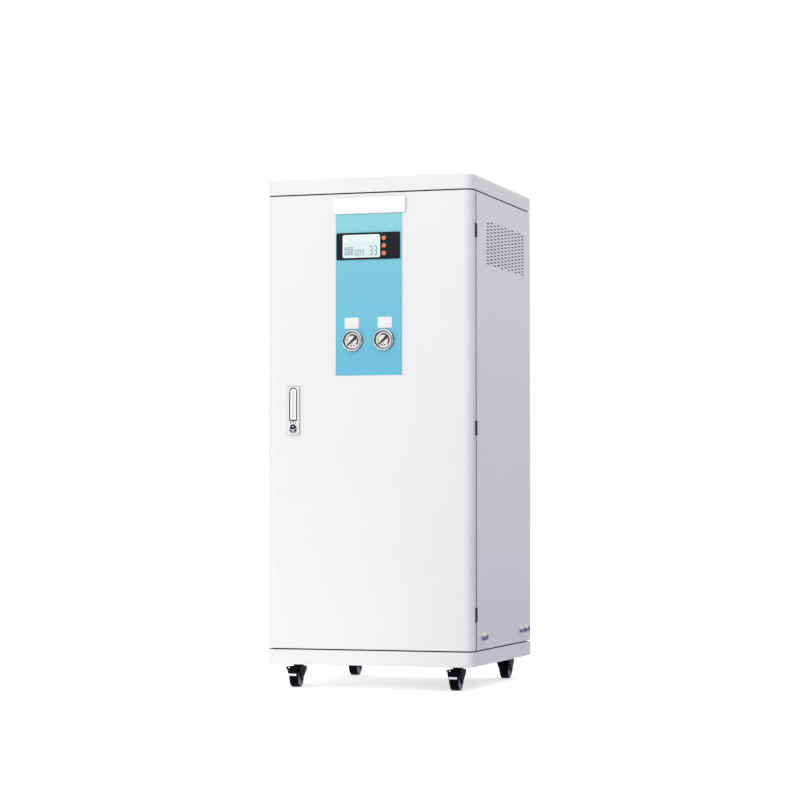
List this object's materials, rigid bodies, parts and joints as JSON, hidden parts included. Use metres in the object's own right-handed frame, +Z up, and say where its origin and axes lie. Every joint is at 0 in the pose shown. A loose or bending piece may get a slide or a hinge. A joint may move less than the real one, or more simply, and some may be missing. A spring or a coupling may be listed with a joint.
{
  "type": "water purifier cabinet",
  "caption": "Tall white sheet-metal water purifier cabinet on casters, with a hinged door that carries a blue panel with a display, keys and pressure gauges.",
  "frame": {"origin": "on the floor, under the middle of the case", "axes": "+Z up, the door faces -Y, +X is the side with the hinges, vents and ports"},
  "size_m": [0.569, 0.5846, 1.312],
  "materials": {
    "powder_coat": "fine texture powder coat",
    "zinc_steel": "zinc plated",
    "black_steel": "gloss black, dipped",
    "black_nylon": "moulded, glossy",
    "chrome_bezel": "polished",
    "lens_glass": "clear",
    "needle_enamel": "satin black",
    "orange_keys": "moulded",
    "overlay_print": "printed film, pale to mid blue",
    "navy_plastic": "moulded",
    "lcd_glass": "back-lit display",
    "lock_plastic": "painted die casting",
    "button_enamel": "glossy",
    "white_plastic": "moulded",
    "blue_plastic": "moulded",
    "resin_column": "clear tube full of amber resin",
    "cast_aluminium": "cast",
    "grey_paint": "smooth paint",
    "black_plastic": "moulded",
    "red_plastic": "moulded"
  },
  "bodies": {
    "cabinet": {"base_tray": "powder_coat", "lid": "powder_coat", "side_panel_left": "powder_coat", "side_panel_right": "powder_coat", "back_panel": "powder_coat", "shelf": "powder_coat", "hinge_body_leaf_lower": "zinc_steel", "hinge_body_leaf_middle": "zinc_steel", "hinge_body_leaf_upper": "zinc_steel", "caster_plate_front_left": "black_steel", "caster_plate_front_right": "black_steel", "caster_plate_rear_left": "black_steel", "caster_plate_rear_right": "black_steel", "port_inlet": "white_plastic", "port_product": "white_plastic", "port_drain": "white_plastic", "filter_head": "white_plastic", "filter_bowl_sediment": "blue_plastic", "filter_bowl_carbon": "blue_plastic", "filter_bowl_polish": "blue_plastic", "pressure_tank": "blue_plastic", "membrane_housing_left": "white_plastic", "membrane_housing_right": "white_plastic", "polishing_column": "resin_column", "booster_pump": "cast_aluminium", "electrics_box": "grey_paint", "mains_inlet": "black_plastic", "feed_tube": "white_plastic", "product_tube": "blue_plastic"},
    "door_leaf": {"door": "powder_coat", "hinge_door_leaf_lower": "zinc_steel", "hinge_door_leaf_middle": "zinc_steel", "hinge_door_leaf_upper": "zinc_steel", "overlay": "overlay_print", "display_bezel": "navy_plastic", "lcd": "lcd_glass", "gauge_case_left": "chrome_bezel", "gauge_case_right": "chrome_bezel", "gauge_lens_left": "lens_glass", "gauge_lens_right": "lens_glass", "lock_plate": "lock_plastic"},
    "lock_handle": {"lock_handle": "lock_plastic"},
    "lock_button": {"lock_button": "button_enamel"},
    "key_1": {"key_1": "orange_keys"},
    "key_2": {"key_2": "orange_keys"},
    "key_3": {"key_3": "orange_keys"},
    "needle_left": {"gauge_needle_left": "needle_enamel"},
    "needle_right": {"gauge_needle_right": "needle_enamel"},
    "tank_lever": {"tank_valve_lever": "red_plastic"},
    "rocker": {"power_rocker": "black_plastic"},
    "fork_front_left": {"caster_fork_front_left": "black_nylon"},
    "wheel_front_left": {"caster_wheel_front_left": "black_nylon"},
    "pedal_front_left": {"caster_pedal_front_left": "black_nylon"},
    "fork_front_right": {"caster_fork_front_right": "black_nylon"},
    "wheel_front_right": {"caster_wheel_front_right": "black_nylon"},
    "pedal_front_right": {"caster_pedal_front_right": "black_nylon"},
    "fork_rear_left": {"caster_fork_rear_left": "black_nylon"},
    "wheel_rear_left": {"caster_wheel_rear_left": "black_nylon"},
    "fork_rear_right": {"caster_fork_rear_right": "black_nylon"},
    "wheel_rear_right": {"caster_wheel_rear_right": "black_nylon"}
  },
  "joints": [
    {"name": "door_swing", "type": "hinge", "parent": "cabinet", "child": "door_leaf", "pos_m": [0.2765, -0.258, 0.686], "axis": [0, 0, 1], "range_deg": [0, 115]},
    {"name": "handle_tilt", "type": "hinge", "parent": "door_leaf", "child": "lock_handle", "pos_m": [-0.20285, -0.2857, 0.763], "axis": [-1, 0, 0], "range_deg": [0, 50], "stiffness_Nm_per_rad": 0.02},
    {"name": "lock_button_press", "type": "slide", "parent": "door_leaf", "child": "lock_button", "axis": [0, 1, 0], "range_m": [0, 0.003], "stiffness_N_per_m": 400},
    {"name": "key_1_press", "type": "slide", "parent": "door_leaf", "child": "key_1", "axis": [0, 1, 0], "range_m": [0, 0.001], "stiffness_N_per_m": 800},
    {"name": "key_2_press", "type": "slide", "parent": "door_leaf", "child": "key_2", "axis": [0, 1, 0], "range_m": [0, 0.001], "stiffness_N_per_m": 800},
    {"name": "key_3_press", "type": "slide", "parent": "door_leaf", "child": "key_3", "axis": [0, 1, 0], "range_m": [0, 0.001], "stiffness_N_per_m": 800},
    {"name": "needle_left_turn", "type": "hinge", "parent": "door_leaf", "child": "needle_left", "pos_m": [-0.0416, -0.2898, 0.892], "axis": [0, 1, 0], "range_deg": [0, 270], "stiffness_Nm_per_rad": 0.00002},
    {"name": "needle_right_turn", "type": "hinge", "parent": "door_leaf", "child": "needle_right", "pos_m": [0.0423, -0.2898, 0.893], "axis": [0, 1, 0], "range_deg": [0, 270], "stiffness_Nm_per_rad": 0.00002},
    {"name": "tank_lever_turn", "type": "hinge", "parent": "cabinet", "child": "tank_lever", "pos_m": [-0.10989, 0.095, 0.4706], "axis": [0, 0, 1], "range_deg": [0, 90]},
    {"name": "rocker_tilt", "type": "hinge", "parent": "cabinet", "child": "rocker", "pos_m": [0.18, 0.2853, 0.8845], "axis": [-1, 0, 0], "range_deg": [0, 16]},
    {"name": "swivel_front_left", "type": "hinge", "parent": "cabinet", "child": "fork_front_left", "pos_m": [-0.216, -0.205, 0.0539], "axis": [0, 0, 1], "continuous": true},
    {"name": "roll_front_left", "type": "hinge", "parent": "fork_front_left", "child": "wheel_front_left", "pos_m": [-0.216, -0.223, 0.025], "axis": [1, 0, 0], "continuous": true},
    {"name": "brake_front_left", "type": "hinge", "parent": "fork_front_left", "child": "pedal_front_left", "pos_m": [-0.216, -0.241, 0.0475], "axis": [1, 0, 0], "range_deg": [0, 8], "stiffness_Nm_per_rad": 0.3},
    {"name": "swivel_front_right", "type": "hinge", "parent": "cabinet", "child": "fork_front_right", "pos_m": [0.216, -0.205, 0.0539], "axis": [0, 0, 1], "continuous": true},
    {"name": "roll_front_right", "type": "hinge", "parent": "fork_front_right", "child": "wheel_front_right", "pos_m": [0.216, -0.223, 0.025], "axis": [1, 0, 0], "continuous": true},
    {"name": "brake_front_right", "type": "hinge", "parent": "fork_front_right", "child": "pedal_front_right", "pos_m": [0.216, -0.241, 0.0475], "axis": [1, 0, 0], "range_deg": [0, 8], "stiffness_Nm_per_rad": 0.3},
    {"name": "swivel_rear_left", "type": "hinge", "parent": "cabinet", "child": "fork_rear_left", "pos_m": [-0.216, 0.236, 0.0539], "axis": [0, 0, 1], "continuous": true},
    {"name": "roll_rear_left", "type": "hinge", "parent": "fork_rear_left", "child": "wheel_rear_left", "pos_m": [-0.216, 0.254, 0.025], "axis": [1, 0, 0], "continuous": true},
    {"name": "swivel_rear_right", "type": "hinge", "parent": "cabinet", "child": "fork_rear_right", "pos_m": [0.216, 0.236, 0.0539], "axis": [0, 0, 1], "continuous": true},
    {"name": "roll_rear_right", "type": "hinge", "parent": "fork_rear_right", "child": "wheel_rear_right", "pos_m": [0.216, 0.254, 0.025], "axis": [1, 0, 0], "continuous": true}
  ]
}
